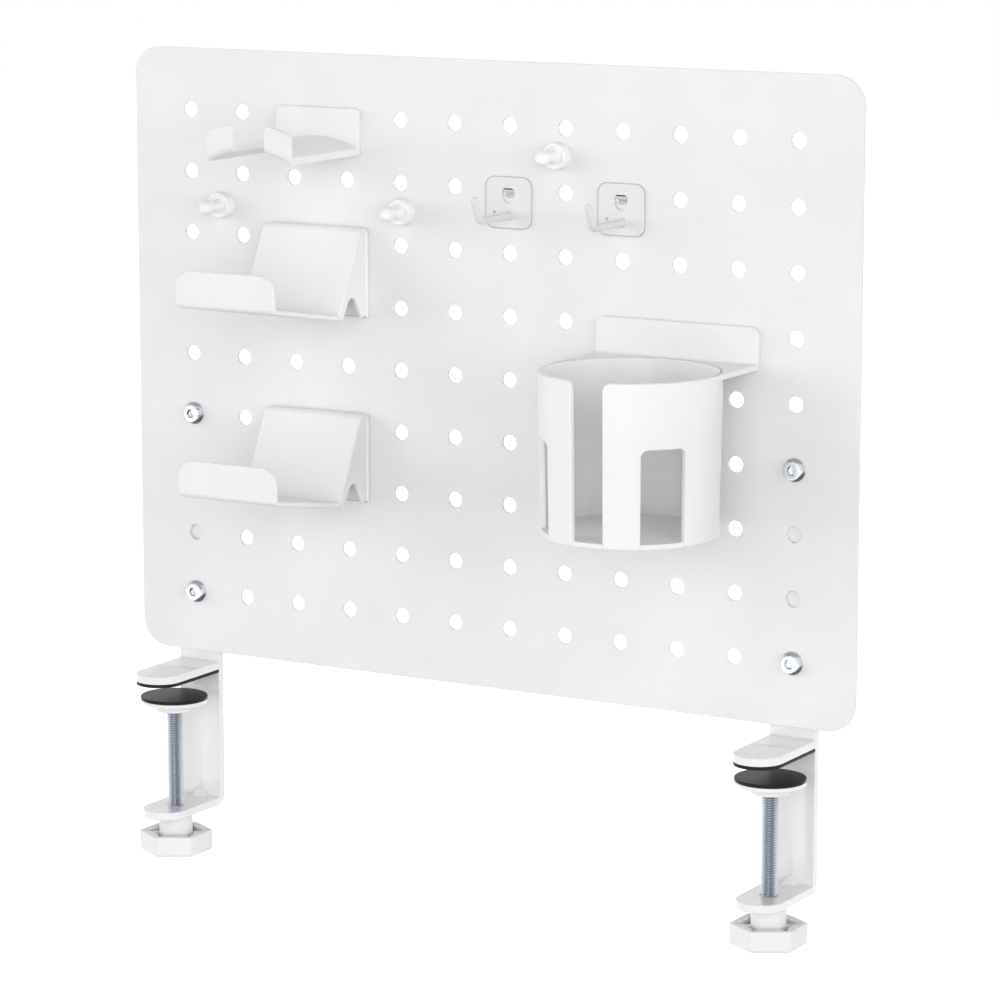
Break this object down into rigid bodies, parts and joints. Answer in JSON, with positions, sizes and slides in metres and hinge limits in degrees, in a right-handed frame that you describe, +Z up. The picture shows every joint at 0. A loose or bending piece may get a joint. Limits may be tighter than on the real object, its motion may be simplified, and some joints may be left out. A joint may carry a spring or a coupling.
{
  "type": "pegboard desk organizer",
  "caption": "Perforated steel panel on two screw clamps for a desk edge, with pegged shelves, cup holder, headset holder, hooks and magnetic pins.",
  "frame": {"origin": "on the desk top, midway between the clamps, at the panel's rear face", "axes": "+Z up, +Y towards the back of the panel, +X to the right as seen from the user's side"},
  "size_m": [0.5, 0.1261, 0.5043],
  "materials": {
    "panel_paint": "satin powder coat",
    "clamp_paint": "glossy powder coat",
    "rubber": "smooth",
    "screw_plate": "bright zinc plate",
    "knob_plastic": "satin moulded",
    "disc_paint": "glossy powder coat",
    "holder_plastic": "satin moulded",
    "hook_paint": "satin powder coat",
    "pin_plastic": "satin moulded",
    "magnet": "bright nickel plate"
  },
  "bodies": {
    "root": {"pegboard_panel": "panel_paint", "clamp_bracket_left": "clamp_paint", "clamp_bracket_right": "clamp_paint", "upper_jaw_left": "clamp_paint", "upper_jaw_right": "clamp_paint", "jaw_pad_left": "rubber", "jaw_pad_right": "rubber", "bracket_bolts": "screw_plate", "bracket_nuts": "screw_plate"},
    "headset_rest": {"headset_holder": "holder_plastic"},
    "upper_shelf": {"shelf_upper": "holder_plastic"},
    "lower_shelf": {"shelf_lower": "holder_plastic"},
    "cup": {"cup_holder": "holder_plastic"},
    "left_disc": {"pressure_disc_left": "disc_paint", "disc_pad_left": "rubber"},
    "left_screw": {"clamp_screw_left": "screw_plate", "clamp_knob_left": "knob_plastic"},
    "right_disc": {"pressure_disc_right": "disc_paint", "disc_pad_right": "rubber"},
    "right_screw": {"clamp_screw_right": "screw_plate", "clamp_knob_right": "knob_plastic"},
    "left_hook": {"hook_plate_left": "hook_paint", "hook_rod_left": "hook_paint"},
    "right_hook": {"hook_plate_right": "hook_paint", "hook_rod_right": "hook_paint"},
    "pin_1": {"pin_body_1": "pin_plastic", "pin_magnet_1": "magnet"},
    "pin_2": {"pin_body_2": "pin_plastic", "pin_magnet_2": "magnet"},
    "pin_3": {"pin_body_3": "pin_plastic", "pin_magnet_3": "magnet"}
  },
  "joints": [
    {"name": "left_clamp_press", "type": "slide", "parent": "root", "child": "left_disc", "axis": [0, 0, 1], "range_m": [-0.057, 0]},
    {"name": "left_screw_turn", "type": "hinge", "parent": "left_disc", "child": "left_screw", "pos_m": [-0.209, -0.0285, -0.05], "axis": [0, 0, 1], "range_deg": [-13681, 0]},
    {"name": "right_clamp_press", "type": "slide", "parent": "root", "child": "right_disc", "axis": [0, 0, 1], "range_m": [-0.057, 0]},
    {"name": "right_screw_turn", "type": "hinge", "parent": "right_disc", "child": "right_screw", "pos_m": [0.209, -0.0285, -0.05], "axis": [0, 0, 1], "range_deg": [-13681, 0]},
    {"name": "headset_rest_pull", "type": "slide", "parent": "root", "child": "headset_rest", "axis": [0, -1, 0], "range_m": [0, 0.012]},
    {"name": "upper_shelf_pull", "type": "slide", "parent": "root", "child": "upper_shelf", "axis": [0, -1, 0], "range_m": [0, 0.012]},
    {"name": "lower_shelf_pull", "type": "slide", "parent": "root", "child": "lower_shelf", "axis": [0, -1, 0], "range_m": [0, 0.012]},
    {"name": "cup_pull", "type": "slide", "parent": "root", "child": "cup", "axis": [0, -1, 0], "range_m": [0, 0.012]},
    {"name": "left_hook_lift", "type": "slide", "parent": "root", "child": "left_hook", "axis": [0, 0, 1], "range_m": [0, 0.0025]},
    {"name": "right_hook_lift", "type": "slide", "parent": "root", "child": "right_hook", "axis": [0, 0, 1], "range_m": [0, 0.0025]},
    {"name": "pin_1_pull", "type": "slide", "parent": "root", "child": "pin_1", "axis": [0, -1, 0], "range_m": [0, 0.02]},
    {"name": "pin_2_pull", "type": "slide", "parent": "root", "child": "pin_2", "axis": [0, -1, 0], "range_m": [0, 0.02]},
    {"name": "pin_3_pull", "type": "slide", "parent": "root", "child": "pin_3", "axis": [0, -1, 0], "range_m": [0, 0.02]}
  ],
  "couplings": [
    {"joint": "left_screw_turn", "follows": "left_clamp_press", "rad_per_m": 4188.8},
    {"joint": "right_screw_turn", "follows": "right_clamp_press", "rad_per_m": 4188.8}
  ]
}
